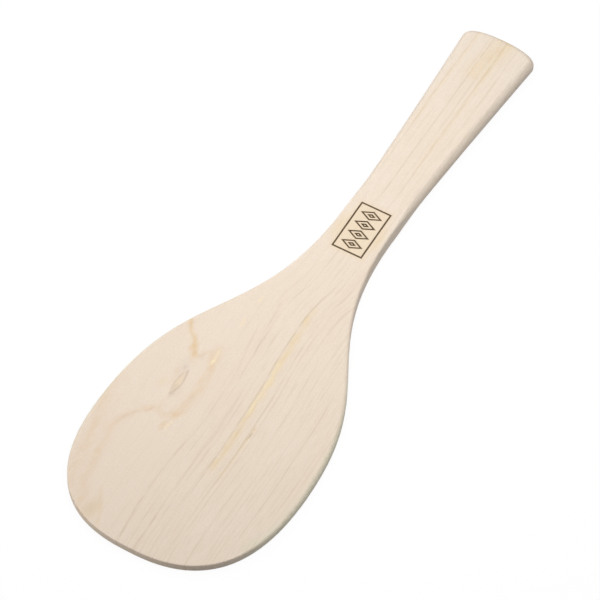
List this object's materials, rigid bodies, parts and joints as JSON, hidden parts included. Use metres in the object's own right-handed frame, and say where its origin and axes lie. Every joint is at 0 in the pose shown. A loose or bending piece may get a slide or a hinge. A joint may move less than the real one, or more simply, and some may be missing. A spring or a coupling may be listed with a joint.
{
  "type": "rice paddle",
  "caption": "Flat wooden rice paddle with a broad rounded blade that thins towards the tip and a slim handle that flares to the butt, for mixing and serving cooked rice.",
  "frame": {"origin": "on the flat back, midway along the length and on the middle line", "axes": "+X from the handle to the blade tip, +Z out of the face, away from the back that it rests on"},
  "size_m": [0.33, 0.1074, 0.008],
  "materials": {
    "wood": "planed and sanded pale hardwood, left bare"
  },
  "bodies": {
    "root": {"paddle": "wood"}
  },
  "joints": []
}
